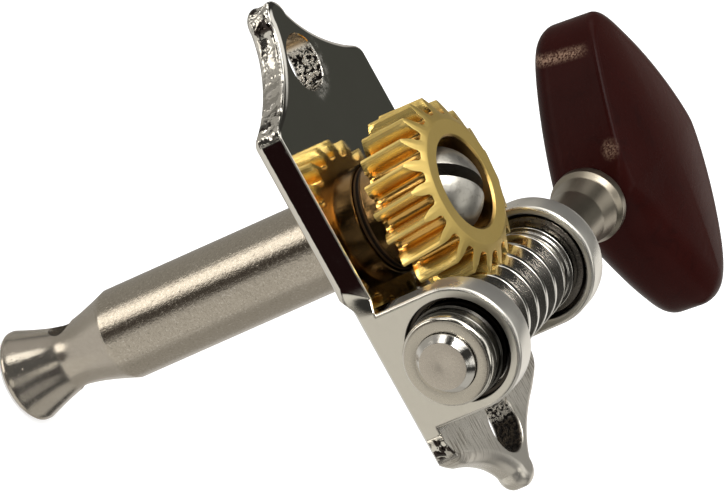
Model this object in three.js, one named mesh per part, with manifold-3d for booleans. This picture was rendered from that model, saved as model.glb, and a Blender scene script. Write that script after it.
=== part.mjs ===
// Open-gear guitar tuning machine with a side knob.
// The origin is where the string post's axis crosses the back of the plate.
// +Z runs out of the headstock toward the wheel, and the post hangs down -Z.
// +X runs along the worm shaft toward the knob.
// +Y runs from the worm toward the ear above the post. Sizes are in millimetres.

import * as THREE from 'three';
import { mergeVertices } from 'three/addons/utils/BufferGeometryUtils.js';
import Module from 'manifold-3d';

const wasm = await Module();
wasm.setup();

// Fits and cutting allowance
const runningGap = 0.1;
const seatGap = 0.1;
const overrun = 2;

// Base plate
const plateThickness = 2;
const plateHalfWidth = 7.65;
const plateBackRound = 0.45;
const plateFootWidening = 0.5;
const upperShoulder = 8.95;
const lowerShoulder = 14.15;
const footBlend = 2.2;
const footReliefHeight = 0.9;
const footReliefDepth = 1.5;
const footReliefRamp = 1.65;
const cornerRound = 0.35;

// Ears and their screw holes
const earTipRadius = 0.95;
const upperEarReach = 15.25;
const lowerEarReach = 19.0;
const flankInset = 2.3;
const upperFlankDrop = 4.2;
const lowerFlankDrop = 2.95;
const upperHoleDistance = 11.05;
const lowerHoleDistance = 15.05;
const screwHoleRadius = 1.75;
const screwHoleChamfer = 0.35;

// Worm wheel and worm
const toothCount = 20;
const pressureAngle = THREE.MathUtils.degToRad(25);
const wheelPitchRadius = 5.4;
const wheelTipRadius = 5.9;
const wheelRootRadius = 4.88;
const wheelToothThickness = 0.74;
const axisDistance = 7.9;
const wormAxisHeight = 5.87;
const wormThreadThickness = 0.78;
const wormThreadHalfLength = 4.9;
const meshGap = 0.1;
const wheelRestTurn = THREE.MathUtils.degToRad(2);

// Worm wheel along its axis
const wheelFaceHeight = 7.85;
const wheelBackHeight = 3.75;
const faceRingRadius = 4.18;
const frontBevelDrop = 0.82;
const backBevelDrop = 0.25;
const backBevelRadius = 5.1;
const hubRadius = 3.7;
const counterboreRadius = 3.05;
const counterboreFloor = 6.3;
const counterboreEdge = 0.12;

// Washer under the hub
const hubWasherThickness = 0.3;
const hubWasherRadius = 3.52;

// String post
const postRadius = 3;
const postWaistRadius = 2.05;
const postWaistDepth = 22.4;
const postNeckLength = 3.8;
const postHeadLength = 3.6;
const postEndBand = 0.45;
const postEndRound = 0.22;
const stringHoleRadius = 0.9;
const tenonHalfSide = 1.75;
const tenonCornerRadius = 2.15;
const tenonShortfall = 0.3;

// Wheel screw
const screwHeadRadius = 2.72;
const screwHeadRim = 0.55;
const screwHeadHeight = 2.25;
const screwSlotWidth = 0.95;
const screwSlotDepth = 1.15;
const screwSlotTurn = THREE.MathUtils.degToRad(-34);
const screwShankRadius = 1.25;
const screwShankLength = 6;
const screwHoleSpare = 0.6;

// Bearing lugs
const lugThickness = 2.2;
const lugRadius = 4.12;
const lugFoot = 1;
const lugEdgeRound = 0.4;
const nearBoreRadius = 3.2;
const nearRecessStep = 0.25;
const nearRecessDepth = 0.5;
const farRecessRadius = 3.55;
const farRecessDepth = 0.9;

// End bush in the near lug
const bushRimLength = 0.45;
const bushRimEdge = 0.06;
const bushBossRadius = 2.95;
const bushBossLength = 1.7;
const bushBossRound = 0.3;

// Worm shaft
const journalRadius = 1.97;
const shaftEndProud = 0.64;
const shaftEndChamfer = 0.42;
const centreDrillRadius = 0.3;
const centreDrillDepth = 0.15;
const wormCollarRadius = 2.6;
const farCollarRadius = 2.95;
const farCollarLength = 0.75;
const endFloat = 0.1;
const tangRadius = 1.4;
const threadRunoutShare = 0.6;

// Thrust washer in the far lug
const thrustWasherRadius = 3.35;
const thrustWasherThickness = 0.6;

// Knob ferrule
const ferruleStandOff = 1.35;
const ferruleLength = 7.9;
const ferruleStemRadius = 1.95;
const ferruleStemLength = 5.1;
const ferruleRimRadius = 2.46;
const ferruleRimThickness = 0.75;
const ferruleEdge = 0.12;
const ferruleSpigotRadius = 2;
const ferruleSpigotLength = 1.3;

// Knob
const knobInnerBulge = 6.4;
const knobOuterBulge = 4.75;
const knobHalfLength = 10.05;
const knobHalfThickness = 2.98;
const knobEndHalfThickness = 2.5;
const knobEdgeRound = 1.18;
const knobTilt = THREE.MathUtils.degToRad(4.4);
const knobTangDepth = 8;
const knobInnerPower = 1.14;
const knobOuterPower = 1.31;

// Roundness of the turned pieces
const roundSteps = 40;
const fineSteps = 28;
const threadSteps = 24;

const material = (name, color, roughness, metalness) => {
	const made = new THREE.MeshStandardMaterial({ color, roughness, metalness });
	made.name = name;
	return made;
};

// Turns an inside-out triangle list the right way round.
function outward(vertProperties, triVerts) {
	const a = new THREE.Vector3();
	const b = new THREE.Vector3();
	const c = new THREE.Vector3();
	let volume = 0;
	for (let i = 0; i < triVerts.length; i += 3) {
		a.fromArray(vertProperties, triVerts[i] * 3);
		b.fromArray(vertProperties, triVerts[i + 1] * 3);
		c.fromArray(vertProperties, triVerts[i + 2] * 3);
		volume += a.dot(b.cross(c));
	}
	if (volume < 0) {
		for (let i = 0; i < triVerts.length; i += 3) {
			const kept = triVerts[i];
			triVerts[i] = triVerts[i + 1];
			triVerts[i + 1] = kept;
		}
	}
	return triVerts;
}

// Makes a solid of a closed three.js geometry.
function solid(geometry) {
	const bare = geometry.index ? geometry.toNonIndexed() : geometry.clone();
	bare.deleteAttribute('normal');
	bare.deleteAttribute('uv');
	const merged = mergeVertices(bare);
	const vertProperties = new Float32Array(merged.attributes.position.array);
	const kept = [];
	const index = merged.index.array;
	for (let i = 0; i < index.length; i += 3) {
		const [a, b, c] = [index[i], index[i + 1], index[i + 2]];
		if (a !== b && b !== c && c !== a) kept.push(a, b, c);
	}
	const triVerts = outward(vertProperties, new Uint32Array(kept));
	return new wasm.Manifold(new wasm.Mesh({ numProp: 3, vertProperties, triVerts }));
}

// Gives a solid's surface back as a three.js geometry.
function surface(body) {
	const mesh = body.getMesh();
	const geometry = new THREE.BufferGeometry();
	geometry.setAttribute('position', new THREE.BufferAttribute(mesh.vertProperties, 3));
	geometry.setIndex(new THREE.BufferAttribute(mesh.triVerts, 1));
	geometry.computeVertexNormals();
	return geometry;
}

// Revolves radius and height pairs about Z.
function turned(profile, steps = roundSteps) {
	const points = profile.map(([radius, height]) => new THREE.Vector2(radius, height));
	return new THREE.LatheGeometry(points, steps).rotateX(Math.PI / 2);
}

// Revolves radius and place pairs about the worm's axis.
function turnedAlongX(profile, steps = roundSteps) {
	const points = profile.map(([radius, place]) => new THREE.Vector2(radius, place));
	const geometry = new THREE.LatheGeometry(points, steps).rotateZ(-Math.PI / 2);
	return geometry.translate(0, -axisDistance, wormAxisHeight);
}

// Extrudes an outline upward from a height.
function raised(shape, from, height, options = {}) {
	const settings = { depth: height, bevelEnabled: false, curveSegments: 8, ...options };
	return new THREE.ExtrudeGeometry(shape, settings).translate(0, 0, from);
}

// Base plate: one casting with two ears and two bearing lugs

const lugOuterFace = plateHalfWidth + plateFootWidening;

function plateOutline() {
	const foot = lugOuterFace;
	const lugTop = -axisDistance + lugRadius;
	const outline = new THREE.Shape();
	const upperTip = upperEarReach - earTipRadius;
	const lowerTip = -(lowerEarReach - earTipRadius);
	const upperFlank = upperEarReach - upperFlankDrop;
	const lowerFlank = -(lowerEarReach - lowerFlankDrop);
	const footMiddle = lugTop + footBlend / 2;
	outline.moveTo(foot, lugTop);
	outline.bezierCurveTo(
		foot, footMiddle, plateHalfWidth, footMiddle, plateHalfWidth, lugTop + footBlend);
	outline.lineTo(plateHalfWidth, upperShoulder - cornerRound);
	outline.quadraticCurveTo(
		plateHalfWidth, upperShoulder, plateHalfWidth - cornerRound, upperShoulder + cornerRound / 2);
	outline.quadraticCurveTo(flankInset, upperFlank, earTipRadius, upperTip);
	outline.absarc(0, upperTip, earTipRadius, 0, Math.PI, false);
	outline.quadraticCurveTo(
		-flankInset, upperFlank, cornerRound - plateHalfWidth, upperShoulder + cornerRound / 2);
	outline.quadraticCurveTo(
		-plateHalfWidth, upperShoulder, -plateHalfWidth, upperShoulder - cornerRound);
	outline.lineTo(-plateHalfWidth, lugTop + footBlend);
	outline.bezierCurveTo(-plateHalfWidth, footMiddle, -foot, footMiddle, -foot, lugTop);
	outline.lineTo(-foot, cornerRound - lowerShoulder);
	outline.quadraticCurveTo(
		-foot, -lowerShoulder, cornerRound - foot, -lowerShoulder - cornerRound / 2);
	outline.quadraticCurveTo(-flankInset, lowerFlank, -earTipRadius, lowerTip);
	outline.absarc(0, lowerTip, earTipRadius, Math.PI, 2 * Math.PI, false);
	outline.quadraticCurveTo(
		flankInset, lowerFlank, foot - cornerRound, -lowerShoulder - cornerRound / 2);
	outline.quadraticCurveTo(foot, -lowerShoulder, foot, cornerRound - lowerShoulder);
	outline.closePath();
	return outline;
}

function lugOutline() {
	const outline = new THREE.Shape();
	outline.moveTo(-axisDistance - lugRadius, lugFoot);
	outline.lineTo(-axisDistance + lugRadius, lugFoot);
	outline.lineTo(-axisDistance + lugRadius, wormAxisHeight);
	outline.absarc(-axisDistance, wormAxisHeight, lugRadius, 0, Math.PI, false);
	outline.closePath();
	return outline;
}

// Extrudes an outline drawn in Y and Z along X.
function alongX(shape, from, length, options = {}) {
	const turn = new THREE.Matrix4().makeBasis(
		new THREE.Vector3(0, 1, 0), new THREE.Vector3(0, 0, 1), new THREE.Vector3(1, 0, 0));
	const settings = { depth: length, bevelEnabled: false, curveSegments: 16, ...options };
	const geometry = new THREE.ExtrudeGeometry(shape, settings).applyMatrix4(turn);
	return geometry.translate(from, 0, 0);
}

function makeLug(side) {
	const from = side > 0 ? lugOuterFace - lugThickness : -lugOuterFace;
	const rounding = {
		bevelEnabled: true, bevelSize: lugEdgeRound, bevelThickness: lugEdgeRound,
		bevelOffset: -lugEdgeRound, bevelSegments: 2,
	};
	const length = lugThickness - 2 * lugEdgeRound;
	return solid(alongX(lugOutline(), from + lugEdgeRound, length, rounding));
}

function screwHoleCut(distance) {
	const rim = screwHoleRadius + screwHoleChamfer;
	const flare = rim + overrun;
	const profile = [
		[0, -overrun],
		[screwHoleRadius, -overrun],
		[screwHoleRadius, plateThickness - screwHoleChamfer],
		[rim, plateThickness],
		[flare, plateThickness + overrun],
		[0, plateThickness + overrun],
	];
	return solid(turned(profile, fineSteps).translate(0, distance, 0));
}

function boreAlongX(radius, from, to) {
	return solid(turnedAlongX([[0, from], [radius, from], [radius, to], [0, to]]));
}

// Slants away the back edge of one side of the wide foot, with a ramp up to it.
function footRelief(side) {
	const face = side * lugOuterFace;
	const slope = footReliefHeight / footReliefDepth;
	const section = new THREE.Shape();
	section.moveTo(face + side * overrun, -overrun);
	section.lineTo(face - side * (footReliefDepth + overrun / slope), -overrun);
	section.lineTo(face + side * overrun, footReliefHeight + slope * overrun);
	section.closePath();
	const from = -lowerShoulder - overrun;
	const to = lugRadius - axisDistance + footBlend;
	const turn = new THREE.Matrix4().makeBasis(
		new THREE.Vector3(1, 0, 0), new THREE.Vector3(0, 0, 1), new THREE.Vector3(0, 1, 0));
	const settings = { depth: to - from - footReliefRamp, bevelEnabled: false };
	const level = new THREE.ExtrudeGeometry(section, settings).applyMatrix4(turn);
	settings.depth = footReliefRamp;
	const ramp = new THREE.ExtrudeGeometry(section, settings).applyMatrix4(turn);
	const place = ramp.attributes.position;
	for (let i = 0; i < place.count; i++) {
		place.setZ(i, place.getZ(i) - footReliefHeight * place.getY(i) / footReliefRamp);
	}
	ramp.translate(0, to - footReliefRamp, 0);
	return solid(level.translate(0, from, 0)).add(solid(ramp));
}

function makeBasePlate() {
	const rounding = {
		bevelEnabled: true, bevelSize: plateBackRound, bevelThickness: plateBackRound,
		bevelOffset: -plateBackRound, bevelSegments: 2,
	};
	const blank = solid(raised(plateOutline(), plateBackRound, plateThickness, rounding));
	const reach = 2 * lowerEarReach + overrun;
	const above = new THREE.BoxGeometry(reach, reach, plateThickness + overrun);
	above.translate(0, 0, plateThickness + (plateThickness + overrun) / 2);
	let body = blank.subtract(solid(above));
	body = body.add(makeLug(-1)).add(makeLug(1));
	const postBore = postRadius + runningGap;
	const boreProfile = [
		[0, -overrun], [postBore, -overrun], [postBore, plateThickness + overrun],
		[0, plateThickness + overrun],
	];
	body = body.subtract(solid(turned(boreProfile)));
	body = body.subtract(screwHoleCut(upperHoleDistance));
	body = body.subtract(screwHoleCut(-lowerHoleDistance));
	body = body.subtract(footRelief(1)).subtract(footRelief(-1));
	const innerFace = lugOuterFace - lugThickness;
	body = body.subtract(boreAlongX(nearBoreRadius, -lugOuterFace - overrun, overrun - innerFace));
	body = body.subtract(boreAlongX(
		nearBoreRadius + nearRecessStep, -lugOuterFace - overrun, nearRecessDepth - lugOuterFace));
	const farBore = journalRadius + runningGap;
	body = body.subtract(boreAlongX(farBore, innerFace - overrun, lugOuterFace + overrun));
	body = body.subtract(
		boreAlongX(farRecessRadius, innerFace - overrun, innerFace + farRecessDepth));
	return body;
}

// Worm wheel: helical involute teeth, bevelled face, hub and counterbore

const wormPitch = 2 * Math.PI * wheelPitchRadius / toothCount;
const wormPitchRadius = axisDistance - wheelPitchRadius;
const wormTipRadius = axisDistance - wheelRootRadius - meshGap;
const wormRootRadius = axisDistance - wheelTipRadius - meshGap;
const leadSlope = wormPitch / (2 * Math.PI * wormPitchRadius);
const hubSeat = plateThickness + hubWasherThickness;

// Half the angle that a tooth takes up at a radius, by the involute.
function toothHalfAngle(radius) {
	const involute = angle => Math.tan(angle) - angle;
	const base = wheelPitchRadius * Math.cos(pressureAngle);
	const slant = Math.acos(Math.min(1, base / radius));
	return wheelToothThickness / (2 * wheelPitchRadius) + involute(pressureAngle) - involute(slant);
}

function toothedOutline() {
	const outline = new THREE.Shape();
	const pitchAngle = 2 * Math.PI / toothCount;
	const flankShares = [0, 0.3, 0.65, 1];
	const radii = flankShares.map(
		share => wheelRootRadius + share * (wheelTipRadius - wheelRootRadius));
	const place = (radius, angle) => [radius * Math.cos(angle), radius * Math.sin(angle)];
	for (let tooth = 0; tooth < toothCount; tooth++) {
		const centre = tooth * pitchAngle;
		for (const radius of radii) {
			const point = place(radius, centre - toothHalfAngle(radius));
			if (tooth === 0 && radius === radii[0]) outline.moveTo(...point);
			else outline.lineTo(...point);
		}
		for (const radius of [...radii].reverse()) {
			outline.lineTo(...place(radius, centre + toothHalfAngle(radius)));
		}
	}
	outline.closePath();
	return outline;
}

// Twists an upright extrusion about Z by an angle for each unit of height.
function twisted(geometry, rate, zeroHeight) {
	const place = geometry.attributes.position;
	for (let i = 0; i < place.count; i++) {
		const angle = rate * (place.getZ(i) - zeroHeight);
		const [x, y] = [place.getX(i), place.getY(i)];
		place.setX(i, x * Math.cos(angle) - y * Math.sin(angle));
		place.setY(i, x * Math.sin(angle) + y * Math.cos(angle));
	}
	return geometry;
}

function tenonOutline(gap) {
	const side = tenonHalfSide + gap;
	const corner = tenonCornerRadius + gap;
	const reach = Math.sqrt(corner * corner - side * side);
	const outline = new THREE.Shape();
	for (let quarter = 0; quarter < 4; quarter++) {
		const turn = quarter * Math.PI / 2;
		const from = Math.atan2(reach, side) + turn;
		const to = Math.atan2(side, reach) + turn;
		outline.absarc(0, 0, corner, from, to, false);
	}
	outline.closePath();
	return outline;
}

function makeWormWheel() {
	const width = wheelFaceHeight - wheelBackHeight;
	const twist = -leadSlope / wheelPitchRadius;
	const blank = raised(toothedOutline(), wheelBackHeight, width, { steps: 2 });
	const teeth = solid(twisted(blank, twist, wormAxisHeight));
	const tip = wheelTipRadius + overrun;
	const slope = frontBevelDrop / (wheelTipRadius - faceRingRadius);
	const backSlope = backBevelDrop / (wheelTipRadius - backBevelRadius);
	const envelope = turned([
		[0, wheelBackHeight],
		[backBevelRadius, wheelBackHeight],
		[tip, wheelBackHeight + backSlope * (tip - backBevelRadius)],
		[tip, wheelFaceHeight - slope * (tip - faceRingRadius)],
		[faceRingRadius, wheelFaceHeight],
		[0, wheelFaceHeight],
	]);
	let body = teeth.intersect(solid(envelope));
	const hub = turned([
		[0, hubSeat], [hubRadius, hubSeat], [hubRadius, wheelBackHeight + seatGap],
		[0, wheelBackHeight + seatGap],
	]);
	body = body.add(solid(hub));
	const counterbore = turned([
		[0, counterboreFloor],
		[counterboreRadius, counterboreFloor],
		[counterboreRadius, wheelFaceHeight - counterboreEdge],
		[counterboreRadius + counterboreEdge, wheelFaceHeight],
		[counterboreRadius + counterboreEdge, wheelFaceHeight + overrun],
		[0, wheelFaceHeight + overrun],
	]);
	body = body.subtract(solid(counterbore));
	const cut = raised(tenonOutline(seatGap), hubSeat - overrun, wheelFaceHeight);
	return body.subtract(solid(cut));
}

// Washer between the hub and the plate

function makeHubWasher() {
	const bore = postRadius + runningGap;
	return solid(turned([
		[bore, plateThickness],
		[hubWasherRadius, plateThickness],
		[hubWasherRadius, hubSeat],
		[bore, hubSeat],
		[bore, plateThickness],
	]));
}

// String post: waisted head with its string hole, and a square tenon for the wheel

function makeStringPost() {
	const postNeckTop = postWaistDepth - postNeckLength;
	const postHeadTop = postWaistDepth + postHeadLength;
	const postEnd = postHeadTop + postEndBand;
	const upper = new THREE.QuadraticBezierCurve(
		new THREE.Vector2(postRadius, -postNeckTop),
		new THREE.Vector2(postWaistRadius, (-postNeckTop - 3 * postWaistDepth) / 4),
		new THREE.Vector2(postWaistRadius, -postWaistDepth));
	const lower = new THREE.QuadraticBezierCurve(
		new THREE.Vector2(postWaistRadius, -postWaistDepth),
		new THREE.Vector2(postWaistRadius, (-postHeadTop - 3 * postWaistDepth) / 4),
		new THREE.Vector2(postRadius, -postHeadTop));
	const steps = 5;
	const waist = [...upper.getPoints(steps), ...lower.getPoints(steps).slice(1)];
	const profile = [
		[0, hubSeat],
		[postRadius, hubSeat],
		...waist.map(point => [point.x, point.y]),
		[postRadius, postEndRound - postEnd],
		[postRadius - postEndRound, -postEnd],
		[0, -postEnd],
	];
	let body = solid(turned(profile));
	const tenonTop = counterboreFloor - tenonShortfall;
	const tenonRoot = hubSeat - seatGap;
	body = body.add(solid(raised(tenonOutline(0), tenonRoot, tenonTop - tenonRoot)));
	const hole = turned([
		[0, -postRadius - overrun], [stringHoleRadius, -postRadius - overrun],
		[stringHoleRadius, postRadius + overrun], [0, postRadius + overrun],
	], fineSteps).rotateX(Math.PI / 2).translate(0, 0, -postWaistDepth);
	body = body.subtract(solid(hole));
	const boreRadius = screwShankRadius + seatGap;
	const boreFloor = counterboreFloor - screwShankLength - screwHoleSpare;
	const bore = turned([
		[0, boreFloor - boreRadius / 2], [boreRadius, boreFloor],
		[boreRadius, tenonTop + overrun], [0, tenonTop + overrun],
	], fineSteps);
	return body.subtract(solid(bore));
}

// Slotted screw that holds the wheel on the post

function makeWheelScrew() {
	const crown = counterboreFloor + screwHeadHeight;
	const rise = screwHeadHeight - screwHeadRim;
	const domeRadius = (rise * rise + screwHeadRadius * screwHeadRadius) / (2 * rise);
	const spread = Math.asin(screwHeadRadius / domeRadius);
	const dome = [];
	const steps = 5;
	for (let i = 0; i <= steps; i++) {
		const angle = spread * (1 - i / steps);
		const height = crown - domeRadius * (1 - Math.cos(angle));
		dome.push([i === steps ? 0 : domeRadius * Math.sin(angle), height]);
	}
	const tip = counterboreFloor - screwShankLength;
	const profile = [
		[0, tip],
		[screwShankRadius * 3 / 4, tip],
		[screwShankRadius, tip + screwShankRadius / 4],
		[screwShankRadius, counterboreFloor],
		[screwHeadRadius, counterboreFloor],
		...dome,
	];
	const slot = new THREE.BoxGeometry(
		2 * (screwHeadRadius + overrun), screwSlotWidth, screwSlotDepth + overrun);
	slot.translate(0, 0, crown - screwSlotDepth + (screwSlotDepth + overrun) / 2);
	slot.rotateZ(screwSlotTurn);
	return solid(turned(profile)).subtract(solid(slot));
}

// Worm: a left-handed single thread on its turned shaft

// Builds a rod whose outline over one pitch climbs along X once each turn.
function threadedRod(outline, pitch, turns, steps) {
	const perPitch = outline.length;
	const rows = turns * perPitch + 1;
	const places = [];
	const numbers = new Map();
	const start = -turns * pitch / 2;
	const number = (column, row) => {
		const wrapped = column === steps;
		const key = wrapped ? [0, row - perPitch].join() : [column, row].join();
		if (!numbers.has(key)) {
			const [step, line] = wrapped ? [0, row - perPitch] : [column, row];
			const [share, radius] = outline[((line % perPitch) + perPitch) % perPitch];
			const angle = 2 * Math.PI * step / steps;
			const along = Math.floor(line / perPitch) + share - step / steps;
			numbers.set(key, places.length / 3);
			places.push(start + along * pitch, radius * Math.cos(angle), radius * Math.sin(angle));
		}
		return numbers.get(key);
	};
	const faces = [];
	for (let column = 0; column < steps; column++) {
		for (let row = 0; row < rows - 1; row++) {
			const a = number(column, row);
			const b = number(column, row + 1);
			const c = number(column + 1, row + 1);
			const d = number(column + 1, row);
			faces.push(a, b, c, a, c, d);
		}
	}
	const capEnd = (row, along, flip) => {
		const middle = places.length / 3;
		places.push(along, 0, 0);
		const rim = [];
		for (let column = 0; column <= steps; column++) rim.push(number(column, row));
		for (let step = perPitch - 1; step >= 1; step--) rim.push(number(0, row - step));
		for (let i = 0; i < rim.length; i++) {
			const [a, b] = [rim[i], rim[(i + 1) % rim.length]];
			faces.push(...(flip ? [middle, b, a] : [middle, a, b]));
		}
	};
	capEnd(0, start - pitch / 2, false);
	capEnd(rows - 1, start + (turns - 1 / 2) * pitch, true);
	const geometry = new THREE.BufferGeometry();
	geometry.setAttribute('position', new THREE.Float32BufferAttribute(places, 3));
	geometry.setIndex(faces);
	return geometry;
}

const farInnerFace = lugOuterFace - lugThickness;
const thrustSeat = farInnerFace + farRecessDepth;
const farCollarEnd = thrustSeat - thrustWasherThickness - endFloat;
const farCollarStart = farCollarEnd - farCollarLength;
const bushFront = -(lugOuterFace + bushRimLength + bushBossLength);
const ferruleStart = lugOuterFace + ferruleStandOff;
const ferruleEnd = ferruleStart + ferruleLength;
const tangStart = ferruleStart - seatGap;
const knobInnerFace = ferruleEnd + seatGap;

function makeWormShaft() {
	const slope = Math.tan(pressureAngle);
	const crest = wormThreadThickness / 2 - slope * (wormTipRadius - wormPitchRadius);
	const valley = wormThreadThickness / 2 + slope * (wormPitchRadius - wormRootRadius);
	const outline = [
		[1 / 2 - valley / wormPitch, wormRootRadius],
		[1 / 2 - crest / wormPitch, wormTipRadius],
		[1 / 2 + crest / wormPitch, wormTipRadius],
		[1 / 2 + valley / wormPitch, wormRootRadius],
	];
	const turns = 2 * Math.ceil(wormThreadHalfLength / wormPitch) + 2;
	const rod = threadedRod(outline, wormPitch, turns, threadSteps);
	rod.rotateX(toothCount * wheelRestTurn).translate(0, -axisDistance, wormAxisHeight);
	const depth = wormTipRadius - wormRootRadius;
	const taper = depth * threadRunoutShare;
	const envelope = turnedAlongX([
		[0, -wormThreadHalfLength],
		[wormRootRadius, -wormThreadHalfLength],
		[wormTipRadius, taper - wormThreadHalfLength],
		[wormTipRadius, wormThreadHalfLength - taper],
		[wormRootRadius, wormThreadHalfLength],
		[0, wormThreadHalfLength],
	], threadSteps);
	const thread = solid(rod).intersect(solid(envelope));
	const nearEnd = bushFront - shaftEndProud;
	const nearShoulder = -farInnerFace + endFloat;
	const tangEnd = knobInnerFace + knobTangDepth;
	const core = turnedAlongX([
		[0, nearEnd],
		[journalRadius - shaftEndChamfer, nearEnd],
		[journalRadius, nearEnd + shaftEndChamfer],
		[journalRadius, nearShoulder],
		[wormCollarRadius, nearShoulder],
		[wormCollarRadius, -wormThreadHalfLength],
		[tangRadius, taper - wormThreadHalfLength],
		[tangRadius, wormThreadHalfLength - taper],
		[farCollarRadius, farCollarStart],
		[farCollarRadius, farCollarEnd],
		[journalRadius, farCollarEnd],
		[journalRadius, tangStart],
		[tangRadius, tangStart],
		[tangRadius, tangEnd],
		[0, tangEnd],
	], fineSteps);
	const drill = turnedAlongX([
		[0, nearEnd - overrun],
		[centreDrillRadius, nearEnd - overrun],
		[centreDrillRadius, nearEnd],
		[0, nearEnd + centreDrillDepth],
	], threadSteps);
	return thread.add(solid(core)).subtract(solid(drill));
}

// Bush pressed into the near lug, which carries the shaft's end

function makeEndBush() {
	const bore = journalRadius + runningGap;
	const spigot = nearBoreRadius - seatGap;
	const inner = -farInnerFace - endFloat;
	const rimFront = -lugOuterFace - bushRimLength;
	const roundCut = bushBossRound * (1 - Math.SQRT1_2);
	return solid(turnedAlongX([
		[bore, bushFront],
		[bushBossRadius - bushBossRound, bushFront],
		[bushBossRadius - roundCut, bushFront + roundCut],
		[bushBossRadius, bushFront + bushBossRound],
		[bushBossRadius, rimFront],
		[spigot - bushRimEdge, rimFront],
		[spigot, rimFront + bushRimEdge],
		[spigot, inner],
		[bore, inner],
		[bore, bushFront],
	]));
}

// Thrust washer in the far lug's recess

function makeThrustWasher() {
	const bore = journalRadius + runningGap;
	const from = thrustSeat - thrustWasherThickness;
	return solid(turnedAlongX([
		[bore, from],
		[thrustWasherRadius, from],
		[thrustWasherRadius, thrustSeat],
		[bore, thrustSeat],
		[bore, from],
	]));
}

// Ferrule between the shaft and the knob

function makeFerrule() {
	const bore = tangRadius + seatGap;
	const rimStart = ferruleEnd - ferruleRimThickness;
	return solid(turnedAlongX([
		[bore, ferruleStart],
		[ferruleStemRadius - ferruleEdge, ferruleStart],
		[ferruleStemRadius, ferruleStart + ferruleEdge],
		[ferruleStemRadius, ferruleStart + ferruleStemLength],
		[ferruleRimRadius - ferruleEdge, rimStart],
		[ferruleRimRadius, rimStart + ferruleEdge],
		[ferruleRimRadius, ferruleEnd],
		[ferruleSpigotRadius, ferruleEnd],
		[ferruleSpigotRadius, ferruleEnd + ferruleSpigotLength],
		[bore, ferruleEnd + ferruleSpigotLength],
		[bore, ferruleStart],
	]));
}

// Knob: a moulded rounded diamond, thickest in the middle, with a seat for the ferrule

function knobOutline() {
	const steps = 48;
	const halfLength = knobHalfLength - knobEdgeRound;
	const points = [];
	for (let i = 0; i < steps; i++) {
		const angle = 2 * Math.PI * i / steps;
		const [across, along] = [Math.cos(angle), Math.sin(angle)];
		const inner = across < 0;
		const bulge = inner ? knobInnerBulge : knobOuterBulge;
		const power = 2 / (inner ? knobInnerPower : knobOuterPower);
		points.push(new THREE.Vector2(
			knobInnerBulge + bulge * Math.sign(across) * Math.abs(across) ** power,
			halfLength * Math.sign(along) * Math.abs(along) ** power));
	}
	return new THREE.Shape(points);
}

function makeKnob() {
	const depth = 2 * (knobHalfThickness - knobEdgeRound);
	const paddle = raised(knobOutline(), -depth / 2, depth, {
		bevelEnabled: true, bevelSize: knobEdgeRound, bevelThickness: knobEdgeRound,
		bevelSegments: 3,
	});
	const place = paddle.attributes.position;
	const thinning = 1 - knobEndHalfThickness / knobHalfThickness;
	for (let i = 0; i < place.count; i++) {
		const share = place.getY(i) / knobHalfLength;
		place.setZ(i, place.getZ(i) * (1 - thinning * share * share));
	}
	paddle.rotateX(knobTilt);
	paddle.translate(knobInnerFace + knobEdgeRound, -axisDistance, wormAxisHeight);
	const spigotEnd = ferruleEnd + ferruleSpigotLength;
	const seat = boreAlongX(
		ferruleSpigotRadius + seatGap, knobInnerFace - overrun, spigotEnd + seatGap);
	const bore = boreAlongX(
		tangRadius + seatGap, knobInnerFace - overrun, knobInnerFace + knobTangDepth + seatGap);
	return solid(paddle).subtract(seat).subtract(bore);
}

// Assembly

const nickel = material('nickel', 0xc9c4ba, 0.25, 1);
const satinNickel = material('satin_nickel', 0xbdb5a8, 0.4, 1);
const brass = material('brass', 0xb8924a, 0.35, 1);
const screwNickel = material('screw_nickel', 0xc4c2bd, 0.3, 1);
const washerFibre = material('washer_fibre', 0x2b1d14, 0.8, 0);
const chrome = material('chrome', 0xd2cfca, 0.15, 1);
const bushNickel = material('bush_nickel', 0xcbc7be, 0.3, 1);
const thrustNickel = material('thrust_nickel', 0xa8a298, 0.35, 1);
const ferruleNickel = material('ferrule_nickel', 0xb9aea6, 0.3, 1);
const burgundy = material('burgundy_plastic', 0x2a0f12, 0.3, 0);

const machine = new THREE.Group();
machine.name = 'guitar_tuning_machine';

function addPiece(parent, name, body, finish) {
	const mesh = new THREE.Mesh(surface(body), finish);
	mesh.name = name;
	parent.add(mesh);
	return mesh;
}

const frame = new THREE.Group();
const postGroup = new THREE.Group();
const wheelGroup = new THREE.Group();
const wormGroup = new THREE.Group();
wheelGroup.rotation.z = wheelRestTurn;
postGroup.add(wheelGroup);
machine.add(frame, postGroup, wormGroup);

addPiece(frame, 'base_plate', makeBasePlate(), nickel);
addPiece(frame, 'worm_end_bush', makeEndBush(), bushNickel);
addPiece(frame, 'thrust_washer', makeThrustWasher(), thrustNickel);
addPiece(frame, 'hub_washer', makeHubWasher(), washerFibre);
addPiece(postGroup, 'wheel_screw', makeWheelScrew(), screwNickel);
addPiece(wheelGroup, 'string_post', makeStringPost(), satinNickel);
addPiece(wheelGroup, 'worm_wheel', makeWormWheel(), brass);
addPiece(wormGroup, 'worm_shaft', makeWormShaft(), chrome);
addPiece(wormGroup, 'knob_ferrule', makeFerrule(), ferruleNickel);
addPiece(wormGroup, 'knob', makeKnob(), burgundy);

export default machine;
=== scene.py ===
import math

import bmesh
import bpy
from mathutils import Matrix, Vector


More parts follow.
